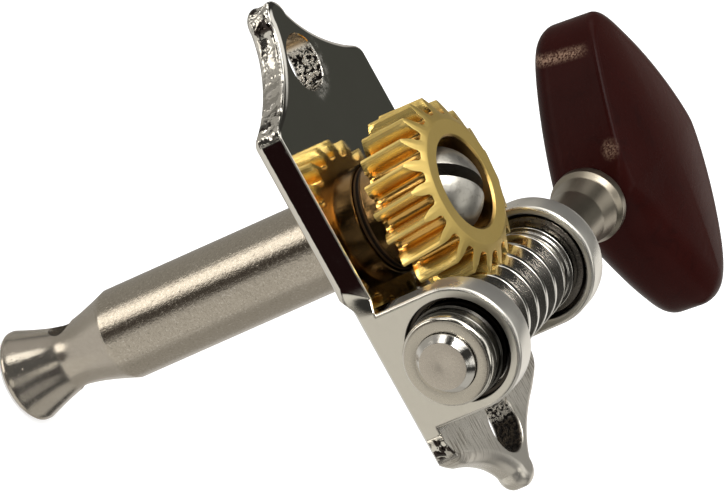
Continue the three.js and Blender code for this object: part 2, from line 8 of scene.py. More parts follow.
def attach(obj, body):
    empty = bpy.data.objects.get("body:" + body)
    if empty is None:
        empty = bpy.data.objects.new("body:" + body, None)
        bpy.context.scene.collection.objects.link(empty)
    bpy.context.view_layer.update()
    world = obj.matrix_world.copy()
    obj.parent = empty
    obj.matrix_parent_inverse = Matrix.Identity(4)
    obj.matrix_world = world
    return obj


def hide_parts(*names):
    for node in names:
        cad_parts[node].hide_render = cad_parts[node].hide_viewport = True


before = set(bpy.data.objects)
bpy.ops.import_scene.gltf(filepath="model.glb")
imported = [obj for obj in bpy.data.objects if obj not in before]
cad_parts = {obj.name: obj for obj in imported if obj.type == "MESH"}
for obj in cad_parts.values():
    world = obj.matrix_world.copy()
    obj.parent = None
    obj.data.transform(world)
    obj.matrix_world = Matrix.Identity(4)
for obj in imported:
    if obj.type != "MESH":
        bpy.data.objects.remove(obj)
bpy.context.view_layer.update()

# Sizes in millimetres, in the part's own frame: the post runs along Z, the worm's axis along X.
MM = 0.001
AXIS_Y, AXIS_Z = -7.9, 5.87                     # where the worm's axis lies
PLATE, FOOT = 2.0, 8.15                         # the plate's thickness and its foot's half width
UPPER_END, LOWER_END = 15.45, -19.3             # the tips of its ears
UP_HOLE, LOW_HOLE = 11.05, -15.05               # the centres of its screw holes
LUG_R, LUG_IN = 4.12, 5.95                      # a lug's radius and its inner face
POST_R, WAIST_R = 3.0, 2.05
WAIST_Z, POST_END = -22.4, -26.45
POST_TURN = math.radians(2)                     # of the post and the wheel at rest
WASHER_TOP, SEAT = 2.3, 6.3                     # the faces under the wheel and the screw's head
TEETH, PRESSURE = 20, math.radians(25)
PITCH_R, ROOT_R, TIP_R, HUB_R = 5.4, 4.86, 5.9, 3.7
WHEEL_LOW, WHEEL_TOP = 3.75, 7.85               # the toothed part's faces
SLOT, SLOT_HALF = math.radians(-47), 0.45       # the turn and half width of the screw's slot
PITCH = 2 * math.pi * PITCH_R / TEETH
THREAD_R, THREAD_TIP, THREAD_ROOT = 2.5, 2.92, 1.9
THREAD_END, SHAFT_R = 4.9, 1.97
TANG_R, TANG_END = 1.4, 25.5                    # the shaft's end inside the knob
KNOB_START, KNOB_HALF, KNOB_THICK = 17.5, 10.05, 2.98
KNOB_TILT = math.radians(4.4)


# Meshes

def make(name, verts, faces):
    """A closed mesh as a new object, welded and with its faces turned outward."""
    mesh = bpy.data.meshes.new(name)
    mesh.from_pydata([tuple(v) for v in verts], [], faces)
    bm = bmesh.new()
    bm.from_mesh(mesh)
    bmesh.ops.remove_doubles(bm, verts=bm.verts, dist=1e-5)
    bmesh.ops.recalc_face_normals(bm, faces=bm.faces)
    bm.to_mesh(mesh)
    bm.free()
    obj = bpy.data.objects.new(name, mesh)
    bpy.context.collection.objects.link(obj)
    return obj


def rounded(points, steps=5, closed=False):
    """Replaces each corner that has a third number by an arc of that radius."""
    out, n = [], len(points)
    for i, p in enumerate(points):
        here = Vector(p[:2])
        radius = p[2] if len(p) > 2 else 0
        if radius <= 0 or (not closed and i in (0, n - 1)):
            out.append((here.x, here.y))
            continue
        back = Vector(points[i - 1][:2]) - here
        on = Vector(points[(i + 1) % n][:2]) - here
        half = back.angle(on) / 2
        cut = min(radius / math.tan(half), 0.48 * back.length, 0.48 * on.length)
        radius = cut * math.tan(half)
        u, v = back.normalized(), on.normalized()
        centre = here + (u + v).normalized() * (radius / math.sin(half))
        a, b = here + u * cut - centre, here + v * cut - centre
        turn = a.angle_signed(b)
        for k in range(steps + 1):
            angle = -turn * k / steps
            c, s = math.cos(angle), math.sin(angle)
            out.append((centre.x + a.x * c - a.y * s, centre.y + a.x * s + a.y * c))
    return out


def lathe(name, profile, steps=96, along="z", closed=False, arc=5):
    """Revolves (radius, place, corner radius) points about Z or about the worm's axis."""
    points = rounded(profile, arc, closed)
    verts, rings = [], []
    for radius, place in points:
        ring = []
        for k in range(1 if radius < 1e-6 else steps):
            angle = 2 * math.pi * k / steps
            a, b = radius * math.cos(angle), radius * math.sin(angle)
            ring.append(len(verts))
            verts.append((a, b, place) if along == "z" else (place, AXIS_Y + a, AXIS_Z + b))
        rings.append(ring)
    faces = []
    pairs = list(zip(rings, rings[1:])) + ([(rings[-1], rings[0])] if closed else [])
    for low, high in pairs:
        for k in range(steps):
            m = (k + 1) % steps
            if len(low) == 1:
                faces.append((low[0], high[m], high[k]))
            elif len(high) == 1:
                faces.append((low[k], low[m], high[0]))
            else:
                faces.append((low[k], low[m], high[m], high[k]))
    return make(name, verts, faces)


def curve(a, control, b, steps):
    """Points of a quadratic curve after its start."""
    out = []
    for k in range(1, steps + 1):
        t = k / steps
        out.append(tuple((1 - t) ** 2 * p + 2 * t * (1 - t) * q + t * t * r
                         for p, q, r in zip(a, control, b)))
    return out


def sway(a, b, steps):
    """Points of a smooth S from a to b that starts and ends along Y."""
    out = []
    for k in range(1, steps + 1):
        t = k / steps
        out.append((a[0] + (b[0] - a[0]) * t * t * (3 - 2 * t), a[1] + (b[1] - a[1]) * t))
    return out


def inset(outline, distance):
    """Moves a counter-clockwise outline inward by a distance, which may depend on the point."""
    out, n = [], len(outline)
    depth = distance if callable(distance) else lambda point: distance
    for i in range(n):
        a, b, c = (Vector(outline[(i + k) % n]) for k in (-1, 0, 1))
        u, v = (b - a).normalized(), (c - b).normalized()
        n1, n2 = Vector((-u.y, u.x)), Vector((-v.y, v.x))
        miter = (n1 + n2) / max(0.5, 1 + n1.dot(n2))
        out.append(tuple(b + miter * depth(b)))
    return out


def rounds(low, high, low_round, high_round, steps=6):
    """(inset, height) pairs of an extrusion with rounded lower and upper edges."""
    turns = [math.pi / 2 * k / steps for k in range(steps + 1)]
    return ([(low_round * (1 - math.sin(a)), low + low_round * (1 - math.cos(a))) for a in turns]
            + [(high_round * (1 - math.cos(a)), high - high_round * (1 - math.sin(a)))
               for a in turns])


def stacked(name, outline, levels, place):
    """Joins copies of an outline, each inset and raised, into a closed solid."""
    shape = outline if callable(outline) else lambda height: outline
    verts, faces, n = [], [], len(shape(levels[0][1]))
    for distance, height in levels:
        ring = inset(shape(height), distance) if distance else shape(height)
        verts += [place(x, y, height) for x, y in ring]
    for k in range(len(levels) - 1):
        for i in range(n):
            j = (i + 1) % n
            faces.append((k * n + i, k * n + j, (k + 1) * n + j, (k + 1) * n + i))
    faces.append(tuple(reversed(range(n))))
    faces.append(tuple(range((len(levels) - 1) * n, len(levels) * n)))
    return make(name, verts, faces)


def box(name, low, high):
    """A block between two opposite corners."""
    verts = [(x, y, z) for x in (low[0], high[0]) for y in (low[1], high[1])
             for z in (low[2], high[2])]
    faces = [(0, 1, 3, 2), (4, 6, 7, 5), (0, 4, 5, 1), (2, 3, 7, 6), (0, 2, 6, 4), (1, 5, 7, 3)]
    return make(name, verts, faces)


def bake(obj):
    """Applies an object's modifiers to its mesh."""
    bpy.context.view_layer.update()
    graph = bpy.context.evaluated_depsgraph_get()
    mesh = bpy.data.meshes.new_from_object(obj.evaluated_get(graph))
    obj.modifiers.clear()
    obj.data = mesh


def turned(obj, angle, axis="Z"):
    """Turns an object's mesh about an axis through the origin."""
    obj.data.transform(Matrix.Rotation(angle, 4, axis))
    return obj


def moved(obj, place):
    obj.data.transform(Matrix.Translation(place))
    return obj


def combine(obj, other, operation):
    """Joins, cuts or intersects an object with another, which is used up."""
    step = obj.modifiers.new("combine", "BOOLEAN")
    step.operation = operation
    step.solver = "EXACT"
    step.object = other
    bake(obj)
    bpy.data.objects.remove(other)


def cut(obj, *others):
    for other in others:
        combine(obj, other, "DIFFERENCE")


def soften(obj, width, angle, segments):
    """Rounds the sharp edges left by a cut."""
    bm = bmesh.new()
    bm.from_mesh(obj.data)
    bmesh.ops.remove_doubles(bm, verts=bm.verts, dist=2e-4)
    bmesh.ops.dissolve_limit(bm, angle_limit=math.radians(0.4), verts=bm.verts, edges=bm.edges)
    bm.to_mesh(obj.data)
    bm.free()
    edge = obj.modifiers.new("edge", "BEVEL")
    edge.width = width
    edge.segments = segments
    edge.limit_method = "ANGLE"
    edge.angle_limit = math.radians(angle)
    bake(obj)


def dress(obj, body, node, material, angle=34):
    """Shades, scales to metres, and puts a finished piece in the place of its node."""
    bm = bmesh.new()
    bm.from_mesh(obj.data)
    for face in bm.faces:
        face.smooth = True
    for edge in bm.edges:
        if len(edge.link_faces) == 2 and edge.calc_face_angle(0) > math.radians(angle):
            edge.smooth = False
    bm.to_mesh(obj.data)
    bm.free()
    obj.data.transform(Matrix.Scale(MM, 4))
    obj.data.materials.clear()
    obj.data.materials.append(material)
    normals = obj.modifiers.new("normals", "WEIGHTED_NORMAL")
    normals.keep_sharp = True
    normals.weight = 50
    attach(obj, body)
    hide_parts(node)


# Camera, at the photograph's viewing angle

lens = bpy.data.cameras.new("eye")
lens.sensor_fit = "HORIZONTAL"
lens.sensor_width = 36
lens.lens = 557.03
lens.clip_start, lens.clip_end = 0.01, 20
camera = bpy.data.objects.new("eye", lens)
bpy.context.collection.objects.link(camera)
right = Vector((0.3373454, -0.4784360, 0.8107386))
up = Vector((0.3573575, 0.8618407, 0.3598974))
back = Vector((-0.8709154, 0.1683138, 0.4617107))
place = Vector((-0.610144, 0.116808, 0.322717))
camera.matrix_world = (Matrix.Translation(place)
                       @ Matrix((right, up, back)).transposed().to_4x4())
bpy.context.scene.camera = camera


# Materials

class Net:
    """A short way to add nodes to a material's or the world's tree."""

    def __init__(self, tree):
        self.tree = tree
        tree.nodes.clear()

    def add(self, kind, inputs=None, **props):
        made = self.tree.nodes.new(kind)
        for key, value in props.items():
            setattr(made, key, value)
        for key, value in (inputs or {}).items():
            if isinstance(value, bpy.types.NodeSocket):
                self.tree.links.new(value, made.inputs[key])
            else:
                made.inputs[key].default_value = value
        return made

    def math(self, operation, *values):
        return self.add("ShaderNodeMath", dict(enumerate(values)), operation=operation).outputs[0]

    def times(self, first, *others):
        for other in others:
            first = self.math("MULTIPLY", first, other)
        return first

    def most(self, a, b):
        return self.math("MAXIMUM", a, b)

    def line(self, value, slope, start):
        return self.math("MULTIPLY_ADD", value, slope, start)

    def size(self, value):
        return self.math("ABSOLUTE", value)

    def inverse(self, share):
        return self.math("SUBTRACT", 1.0, share)

    def vector(self, operation, a, b=(0, 0, 0)):
        made = self.add("ShaderNodeVectorMath", {0: a, 1: b}, operation=operation)
        return made.outputs["Value" if operation in ("DOT_PRODUCT", "LENGTH") else "Vector"]

    def axis(self, vector, index):
        return self.add("ShaderNodeSeparateXYZ", {0: vector}).outputs[index]

    def ramp(self, value, low, high):
        """Smooth step of a value between two levels."""
        return self.add("ShaderNodeMapRange", {"Value": value, "From Min": low, "From Max": high},
                        interpolation_type="SMOOTHSTEP").outputs["Result"]

    def mix(self, factor, a, b):
        """Mix of two colours."""
        a, b = ((*colour, 1) if isinstance(colour, tuple) else colour for colour in (a, b))
        return self.add("ShaderNodeMix", {0: factor, 6: a, 7: b}, data_type="RGBA",
                        clamp_factor=True).outputs[2]

    def blend(self, factor, a, b):
        """Mix of two numbers."""
        return self.add("ShaderNodeMix", {0: factor, 2: a, 3: b}, data_type="FLOAT",
                        clamp_factor=True).outputs[0]

    def noise(self, vector, scale, detail=3.0, rough=0.55, stretch=None, distortion=0.0):
        if stretch:
            vector = self.vector("MULTIPLY", vector, stretch)
        return self.add("ShaderNodeTexNoise", {
            "Vector": vector, "Scale": scale, "Detail": detail, "Roughness": rough,
            "Distortion": distortion}).outputs[0]


class Finish(Net):
    """A material with coordinates in millimetres and a bump chain."""

    def __init__(self, name):
        self.material = bpy.data.materials.new(name)
        self.material.use_nodes = True
        super().__init__(self.material.node_tree)
        coords = self.add("ShaderNodeTexCoord")
        self.place = self.vector("MULTIPLY", coords.outputs["Object"], (1 / MM, 1 / MM, 1 / MM))
        self.normal = coords.outputs["Normal"]
        self.height = None
        self.shader = self.add("ShaderNodeBsdfPrincipled")
        self.add("ShaderNodeOutputMaterial", {"Surface": self.shader.outputs[0]})

    def grain(self, scale, detail=3.0, rough=0.55, **more):
        return self.noise(self.place, scale, detail, rough, **more)

    def distance(self, point, axes):
        """Distance from a point in millimetres, counted along the given axes only."""
        moved = self.vector("SUBTRACT", self.place, point)
        return self.vector("LENGTH", self.vector("MULTIPLY", moved, axes))

    def set(self, **values):
        for key, value in values.items():
            socket = self.shader.inputs[key.replace("_", " ")]
            if isinstance(value, bpy.types.NodeSocket):
                self.tree.links.new(value, socket)
            else:
                socket.default_value = (*value, 1) if isinstance(value, tuple) else value

    def bump(self, height, microns, strength=1.0):
        made = self.add("ShaderNodeBump", {
            "Height": height, "Distance": microns * 1e-6, "Strength": strength})
        if self.height is not None:
            self.tree.links.new(self.height, made.inputs["Normal"])
        self.height = made.outputs[0]
        self.tree.links.new(self.height, self.shader.inputs["Normal"])


def plate_nickel():
    f = Finish("polished_nickel")
    x, y, z = (f.axis(f.place, k) for k in (0, 1, 2))
    nx, nz = f.size(f.axis(f.normal, 0)), f.axis(f.normal, 2)
    down, apart, level = f.times(y, -1.0), f.size(x), f.size(nz)
    cloud, grain = f.grain(0.35, 4), f.grain(9.0, 3)
    brushed = f.grain(1.0, 5, 0.62, stretch=(7.0, 0.55, 1.0))
    lumps, speckle = f.grain(1.1, 2, 0.6, distortion=0.4), f.grain(4.0, 3, 0.6)

    # Shares of the surface: 1 inside, 0 outside
    front, steep, side = f.ramp(nz, 0.8, 0.97), f.ramp(level, 0.85, 0.5), f.ramp(nx, 0.86, 0.97)
    ears = f.most(f.ramp(y, 8.6, 9.3), f.ramp(down, 13.2, 13.9))
    low_ear = f.most(f.times(f.ramp(nz, -0.3, 0.1), f.ramp(down, 13.6, 14.2)),
                     f.times(f.ramp(nz, 0.25, 0.6), f.ramp(down, 11.5, 12.6)))
    streaked = f.times(low_ear, f.ramp(down, 17.0, 13.5))
    lug_side = f.times(side, f.ramp(down, 1.4, 3.2), f.ramp(down, 13.2, 12.7))
    lug_rim = f.times(f.ramp(z, 2.3, 3.2), f.inverse(side))
    wall = f.times(f.ramp(level, 0.8, 0.5), ears)
    from_upper = f.distance((0, UP_HOLE, 0), (1, 1, 0))
    from_lower = f.distance((0, LOW_HOLE, 0), (1, 1, 0))
    in_hole = f.most(f.ramp(from_upper, 2.0, 1.9), f.ramp(from_lower, 2.0, 1.9))
    # The hole walls lower than the upper hole's middle: painted shade goes on them as near-black
    # speckles, along with a bump
    below = f.times(in_hole, steep, f.ramp(y, 11.9, 11.3))
    far = f.ramp(x, -1, 1)
    # Painted shade: the walls of the near lug's bore and of the far lug's recess are made near
    # black
    painted_crevice_shade = f.times(f.ramp(f.distance((0, AXIS_Y, AXIS_Z), (0, 1, 1)),
                             f.blend(far, 3.5, 3.62), f.blend(far, 3.44, 3.56)),
                      f.ramp(apart, FOOT - 0.02, FOOT - 0.07))
    corner = f.times(f.ramp(down, 12.3, 12.6), f.ramp(down, 14.4, 13.9), steep,
                     f.ramp(apart, 6.2, 6.6))
    cast = f.most(corner, f.times(wall, f.ramp(y, 8.0, 8.4), f.inverse(in_hole)))
    zones = f.most(f.ramp(y, 13.5, 14.1), f.ramp(y, 10.5, 9.7))
    patchy = f.times(f.most(zones, 0.35), f.ramp(f.grain(0.7, 2), 0.36, 0.52))
    patchy = f.most(patchy, corner)
    pits = f.times(cast, patchy, f.ramp(lumps, 0.53, 0.57))
    toward_foot = f.vector("DOT_PRODUCT", f.vector("SUBTRACT", f.place, (0, UP_HOLE, 0)),
                           (0.717, -0.697, 0))
    halo = f.times(f.ramp(toward_foot, 0.5, 1.5), f.ramp(from_upper, 3.1, 2.2),
                   f.ramp(f.grain(1.3, 3), 0.3, 0.6))
    satin = f.most(lug_rim, low_ear)

    rough = f.line(cloud, 0.03, 0.02)
    rough = f.blend(lug_side, rough, f.line(grain, 0.1, 0.25))
    rough = f.blend(lug_rim, rough, f.line(cloud, 0.14, 0.22))
    rough = f.blend(low_ear, rough, f.line(brushed, 0.12, 0.27))
    rough = f.blend(f.times(wall, f.inverse(low_ear)), rough, f.blend(cast, 0.2, 0.17))
    rough = f.line(f.times(halo, front), 0.28, rough)
    tint = f.mix(cloud, (0.80, 0.775, 0.72), (0.74, 0.71, 0.65))
    for share, colour in (
            (lug_side, (0.82, 0.785, 0.70)),
            (f.times(low_ear, 0.6), (0.62, 0.575, 0.50)),
            (f.times(streaked, f.ramp(brushed, 0.5, 0.62)), (0.26, 0.225, 0.175)),
            (f.times(in_hole, f.ramp(y, 11.5, 12.1)), (0.60, 0.46, 0.30)),
            # Painted shade: the lower side of the lower hole is dark, and the lower hole walls get
            # near-black speckles
            (f.times(in_hole, f.ramp(down, 14.7, 15.4)), (0.05, 0.04, 0.03)),
            (f.times(below, f.ramp(speckle, 0.49, 0.53)), (0.012, 0.010, 0.009)),
            (pits, (0.05, 0.04, 0.035)),
            (painted_crevice_shade, (0.07, 0.06, 0.05))):
        tint = f.mix(share, tint, colour)
    f.set(Base_Color=tint, Metallic=f.line(satin, -0.1, 1.0), Roughness=rough)
    f.bump(f.times(brushed, streaked, front), 45)
    f.bump(f.times(brushed, front), 1.1)
    f.bump(f.times(lumps, patchy, cast), 380)
    f.bump(f.times(speckle, below), 200)
    f.bump(f.times(f.grain(1.1, 3), f.inverse(front)), 10)
    f.bump(grain, 0.8)
    return f.material


def turned_metal(name, tint, dark, rough, spread, pits=0.0, shade=None, face=None):
    """Metal with fine turning lines about the worm's axis, and a less even face."""
    f = Finish(name)
    cloud = f.grain(0.6, 4)
    rings = f.grain(1.0, 4, 0.6, stretch=(18.0, 0.3, 0.3))
    fine = f.grain(16.0, 3)
    sand = f.grain(5.0, 4, 0.65)
    end = f.ramp(f.size(f.axis(f.normal, 0)), 0.8, 0.97)
    colour = f.mix(cloud, tint, dark)
    if face:
        colour = f.mix(end, colour, f.mix(cloud, face, tuple(0.92 * value for value in face)))
    # Painted shade: where the shade mask is 1, the colour drops to near black
    if shade:
        colour = f.mix(shade(f), colour, tuple(0.16 * value for value in dark))
    f.set(Base_Color=colour, Metallic=1.0, Roughness=f.blend(
        end, f.line(fine, spread, rough), f.line(sand, 0.12, max(rough, 0.22))))
    f.bump(rings, 2.5)
    f.bump(fine, 1.5)
    if pits:
        f.bump(f.times(sand, f.inverse(end)), pits)
    return f.material


def post_nickel():
    f = Finish("satin_nickel_post")
    cloud = f.grain(0.5, 4)
    streaks = f.grain(3.2, 4, 0.6, stretch=(1.0, 1.0, 0.10))
    sand = f.grain(4.6, 4, 0.75)
    specks = f.grain(6.5, 3, 0.7)
    spots = f.ramp(f.grain(4.5, 2), 0.62, 0.72)
    head = f.ramp(f.axis(f.place, 2), -18.2, -19.0)
    bright = f.times(f.ramp(specks, 0.55, 0.7), f.blend(head, 0.36, 0.15))
    dull = f.times(f.ramp(specks, 0.46, 0.36), f.blend(head, 0.28, 0.1))
    tint = f.mix(cloud, (0.56, 0.51, 0.44), (0.48, 0.435, 0.37))
    tint = f.mix(bright, tint, (0.86, 0.82, 0.75))
    tint = f.mix(dull, tint, (0.30, 0.26, 0.21))
    f.set(Base_Color=tint, Metallic=f.line(head, -0.1, 1.0),
          Roughness=f.blend(head, f.line(sand, 0.12, 0.05), f.line(sand, 0.08, 0.10)))
    f.bump(streaks, 7)
    f.bump(f.times(sand, f.blend(head, 1.0, 0.3)), 17)
    f.bump(spots, 6, 0.7)
    return f.material


def wheel_brass():
    f = Finish("machined_brass")
    z = f.axis(f.place, 2)
    radius = f.distance((0, 0, 0), (1, 1, 0))
    face = f.ramp(f.axis(f.normal, 2), 0.6, 0.85)
    side = f.inverse(face)
    cloud = f.grain(0.9, 5)
    sand = f.grain(12.0, 4, 0.7)
    rings = f.noise(f.add("ShaderNodeCombineXYZ", {0: radius}).outputs[0], 7.0, 4, 0.7)
    hobbed = f.grain(3.0, 4, 0.65, stretch=(1.0, 1.0, 0.14))
    land = f.ramp(radius, TIP_R - 0.2, TIP_R - 0.05)
    outer = f.times(f.ramp(radius, 4.9, 5.7), side)
    painted_gap_shade = f.times(f.ramp(radius, 5.5, 4.75), side)
    bore = f.times(f.ramp(radius, 3.3, 3.15), side)
    hub = f.times(f.ramp(radius, HUB_R + 0.15, HUB_R + 0.05), f.ramp(z, 3.9, 3.6))
    tint = f.mix(cloud, (0.77, 0.575, 0.195), (0.69, 0.50, 0.155))
    tint = f.mix(f.times(f.ramp(sand, 0.6, 0.75), 0.35), tint, (0.52, 0.36, 0.13))
    # Painted shade and bounced light: the spaces between teeth are a deeper orange
    tint = f.mix(painted_gap_shade, tint, (0.68, 0.40, 0.115))
    # Painted shade: the counterbore and square hole walls are darkened
    tint = f.mix(bore, tint, (0.20, 0.12, 0.045))
    # Painted shade: the hub, under the toothed part, is dark brown
    tint = f.mix(hub, tint, (0.14, 0.085, 0.035))
    # Painted shade: the flat face is made 16% darker than the sides
    tint = f.mix(face, tint, f.mix(0.16, tint, (0.0, 0.0, 0.0)))
    rough_side = f.line(hobbed, 0.2, f.blend(land, 0.10, 0.34))
    f.set(Base_Color=tint, Metallic=f.line(outer, -0.3, 1.0),
          Roughness=f.blend(face, rough_side, f.line(sand, 0.14, 0.40)))
    f.bump(f.times(hobbed, side), 22)
    f.bump(f.times(rings, face), 6)
    f.bump(f.times(sand, face), 6)
    return f.material


def screw_metal():
    f = Finish("domed_screw")
    cloud = f.grain(1.2, 5, 0.6)
    marks = f.grain(2.4, 4, 0.6, distortion=0.6)
    across = f.vector("DOT_PRODUCT", f.place, (math.sin(SLOT), -math.cos(SLOT), 0))
    slot = f.times(f.ramp(f.size(across), SLOT_HALF + 0.02, SLOT_HALF - 0.02),
                   f.ramp(f.axis(f.place, 2), 6.6, 6.7))
    tint = f.mix(f.ramp(marks, 0.5, 0.8), (0.50, 0.48, 0.435), (0.29, 0.27, 0.235))
    # Painted shade: the slot's walls and floor are near black
    tint = f.mix(slot, tint, (0.10, 0.085, 0.07))
    f.set(Base_Color=tint, Metallic=1.0, Roughness=f.line(cloud, 0.25, 0.24))
    f.bump(marks, 14)
    f.bump(f.grain(16.0, 3), 3)
    return f.material


def washer_fibre():
    """Brown fibre, with painted shade, near black, along its foot at the plate."""
    f = Finish("dark_fibre")
    cloud = f.grain(2.5, 4)
    strands = f.grain(12.0, 4, 0.7)
    above = f.ramp(f.axis(f.place, 2), PLATE + 0.09, PLATE + 0.13)
    brown = f.mix(cloud, (0.10, 0.058, 0.024), (0.065, 0.036, 0.016))
    # Painted shade: near black below the mask's edge, next to the plate
    f.set(Base_Color=f.mix(above, (0.012, 0.007, 0.004), brown),
          Roughness=f.line(strands, 0.2, 0.65), Specular_IOR_Level=0.15)
    f.bump(strands, 8)
    return f.material


def knob_plastic():
    """Burgundy plastic with a painted highlight band along its upper edge, one painted highlight
    spot, and a painted sheen towards its outer end.
    """
    f = Finish("burgundy_plastic")
    cloud = f.grain(0.13, 4, 0.6)
    swirl = f.grain(0.45, 5, 0.65, distortion=0.8)
    up = f.math("SUBTRACT", f.axis(f.place, 1), AXIS_Y)
    over = f.math("SUBTRACT", f.axis(f.place, 2), AXIS_Z)
    line = f.line(over, 0.13, up)
    # Painted highlight: a speckled light band at the inner face's upper bend, and a weaker light
    # spot
    band = f.times(f.ramp(line, 8.15, 8.6), f.ramp(line, 9.1, 8.65), f.ramp(over, 2.9, 1.5))
    spot = f.ramp(f.distance((0, AXIS_Y + 2.45, AXIS_Z + 2.5), (0, 1, 1)), 0.8, 0.2)
    painted_highlight = f.times(f.most(band, f.times(spot, 0.6)), f.ramp(f.axis(f.normal, 0), -0.3, -0.5),
                     f.ramp(f.grain(7.0, 4, 0.7), 0.38, 0.66))
    tint = f.mix(cloud, (0.0135, 0.0026, 0.0021), (0.029, 0.0048, 0.0038))
    tint = f.mix(f.times(f.ramp(swirl, 0.5, 0.75), 0.5), tint, (0.009, 0.0022, 0.002))
    # Painted sheen: the outer end is lighter
    tint = f.mix(f.times(f.ramp(f.axis(f.place, 0), 22.0, 29.5), 0.7), tint, (0.052, 0.021, 0.017))
    tint = f.mix(painted_highlight, tint, (0.30, 0.19, 0.13))
    f.set(Base_Color=tint, Roughness=f.line(swirl, 0.14, 0.20), IOR=1.45, Specular_IOR_Level=0.05)
    f.bump(swirl, 16)
    f.bump(f.grain(3.2, 3, 0.6), 5)
    f.bump(f.grain(10.0, 3), 1.2)
    return f.material


def painted_bush_wall_shade(f):
    """Painted shade on the bush's wall behind its bright front rim."""
    return f.ramp(f.axis(f.place, 0), -9.95, -9.75)


def painted_thread_shade(f):
    """Painted shade in the thread's root, on the journals beside it, and on the shoulder's steps.
    """
    x = f.axis(f.place, 0)
    root = f.times(f.ramp(f.distance((0, AXIS_Y, AXIS_Z), (0, 1, 1)), 2.5, 2.05),
                   f.ramp(f.size(x), 9.0, 8.5))
    steps = f.times(f.ramp(x, 4.4, 4.7), f.ramp(f.axis(f.normal, 0), -0.85, -0.97))
    return f.most(root, steps)


NICKEL = plate_nickel()
POST = post_nickel()
BRASS = wheel_brass()
SCREW = screw_metal()
PLASTIC = knob_plastic()
WORM = turned_metal("worm_chrome", (0.80, 0.78, 0.745), (0.72, 0.70, 0.66), 0.04, 0.08,
                    pits=6, shade=painted_thread_shade, face=(0.62, 0.565, 0.495))
BUSH = turned_metal("bush_nickel", (0.80, 0.77, 0.71), (0.73, 0.70, 0.635), 0.05, 0.08,
                    pits=8, shade=painted_bush_wall_shade, face=(0.63, 0.585, 0.505))
FIBRE = washer_fibre()
THRUST = turned_metal("thrust_nickel", (0.24, 0.22, 0.20), (0.17, 0.155, 0.135), 0.15, 0.15)
FERRULE = turned_metal("ferrule_nickel", (0.42, 0.375, 0.305), (0.33, 0.29, 0.23), 0.26, 0.08)


# Base plate: ears, bearing lugs, bores

def plate_outline(height):
    """The plate's outline at a height: its sides lean in, and its foot flares out sooner behind."""
    lug_top, foot_end, right_top, left_top = AXIS_Y + LUG_R, -14.15, 9.25, 8.95
    corner, foot_corner, tip_round = 0.5, 2.0, 1.25
    half = 7.65 + 0.16 * min(1, max(0, (1.87 - height) / 1.42))
    flare = lug_top + 2.78 - 0.9 * height
    up_tip, low_tip = UPPER_END - tip_round, LOWER_END + tip_round
    bend = foot_end - foot_corner / 2
    pts = [(FOOT, lug_top)]

    def to(control, end, steps):
        pts.extend(curve(pts[-1], control, end, steps))

    def tip(y, start):
        for k in range(1, 25):
            a = start + math.pi * k / 24
            pts.append((tip_round * math.cos(a), y + tip_round * math.sin(a)))

    pts += sway(pts[-1], (half, flare), 16)
    pts.append((half, right_top - corner))
    to((half, right_top), (half - corner, right_top + corner / 2), 8)
    to((2.85, 11.5), (tip_round, up_tip), 28)
    tip(up_tip, 0)
    to((-2.3, 11.05), (corner - half, left_top + corner / 2), 28)
    to((-half, left_top), (-half, left_top - corner), 8)
    pts.append((-half, flare))
    pts += sway(pts[-1], (-FOOT, lug_top), 16)
    pts.append((-FOOT, foot_corner + foot_end))
    to((-FOOT, foot_end), (foot_corner - FOOT, bend), 12)
    to((-2.55, -16.3), (-tip_round, low_tip), 28)
    tip(low_tip, math.pi)
    to((2.65, -16.35), (FOOT - foot_corner, bend), 28)
    to((FOOT, foot_end), (FOOT, foot_corner + foot_end), 12)
    return pts


def smooth(value, low, high):
    """Smooth step of a number between two levels."""
    t = min(1, max(0, (value - low) / (high - low)))
    return t * t * (3 - 2 * t)


def plate_rim(height):
    """How far the rim is drawn in at a height: crisp along the plate, soft round the ears."""
    def depth(point):
        top, low = smooth(point.y, 8.5, 10.2), smooth(-point.y, 13.6, 15.2)
        wide, deep = 0.12 + 0.42 * top + 0.66 * low, 0.12 + 0.2 * top + 0.66 * low
        rear = 0.45 + 0.25 * max(top, low)
        drawn = 0
        if height > PLATE - deep:
            drawn = wide * (1 - math.sqrt(max(0, 1 - ((height - PLATE) / deep + 1) ** 2)))
        elif height < rear:
            drawn = rear - math.sqrt(max(0, rear ** 2 - (rear - height) ** 2))
        hollow = smooth(height, 0.5, 0.85) * smooth(-height, -1.62, -1.3)
        return drawn + 0.09 * top * hollow
    return depth


def lug(side):
    """A bearing lug, as a wall with a round top across the worm's axis."""
    pts = [(AXIS_Y - LUG_R, 1.0), (AXIS_Y + LUG_R, 1.0), (AXIS_Y + LUG_R, AXIS_Z)]
    for k in range(1, 72):
        a = math.pi * k / 72
        pts.append((AXIS_Y + LUG_R * math.cos(a), AXIS_Z + LUG_R * math.sin(a)))
    pts.append((AXIS_Y - LUG_R, AXIS_Z))
    low, high = sorted((side * LUG_IN, side * FOOT))
    edges = (0.25, 0.62) if side > 0 else (0.27, 0.3)
    return stacked("lug", pts, rounds(low, high, *edges), lambda a, b, h: (h, a, b))


def bore_x(radius, start, end, edge):
    """Cutter along the worm's axis with a rounded mouth at each end."""
    profile = [(0, start - 1), (radius + edge + 1, start - 1), (radius + edge, start),
               (radius, start + edge, 0.05), (radius, end - edge, 0.05), (radius + edge, end),
               (radius + edge + 1, end + 1), (0, end + 1)]
    return lathe("bore", profile, 96, "x")


def hole_z(y, radius, edge):
    """Cutter through the plate with a rounded mouth at each end."""
    profile = [(0, -1), (radius + 1.2, -1), (radius + 0.2, 0), (radius, 0.2, 0.1),
               (radius, PLATE - edge, edge * 0.6), (radius + edge, PLATE),
               (radius + edge + 1, PLATE + 1), (0, PLATE + 1)]
    return moved(lathe("hole", profile, 72), (0, y, 0))


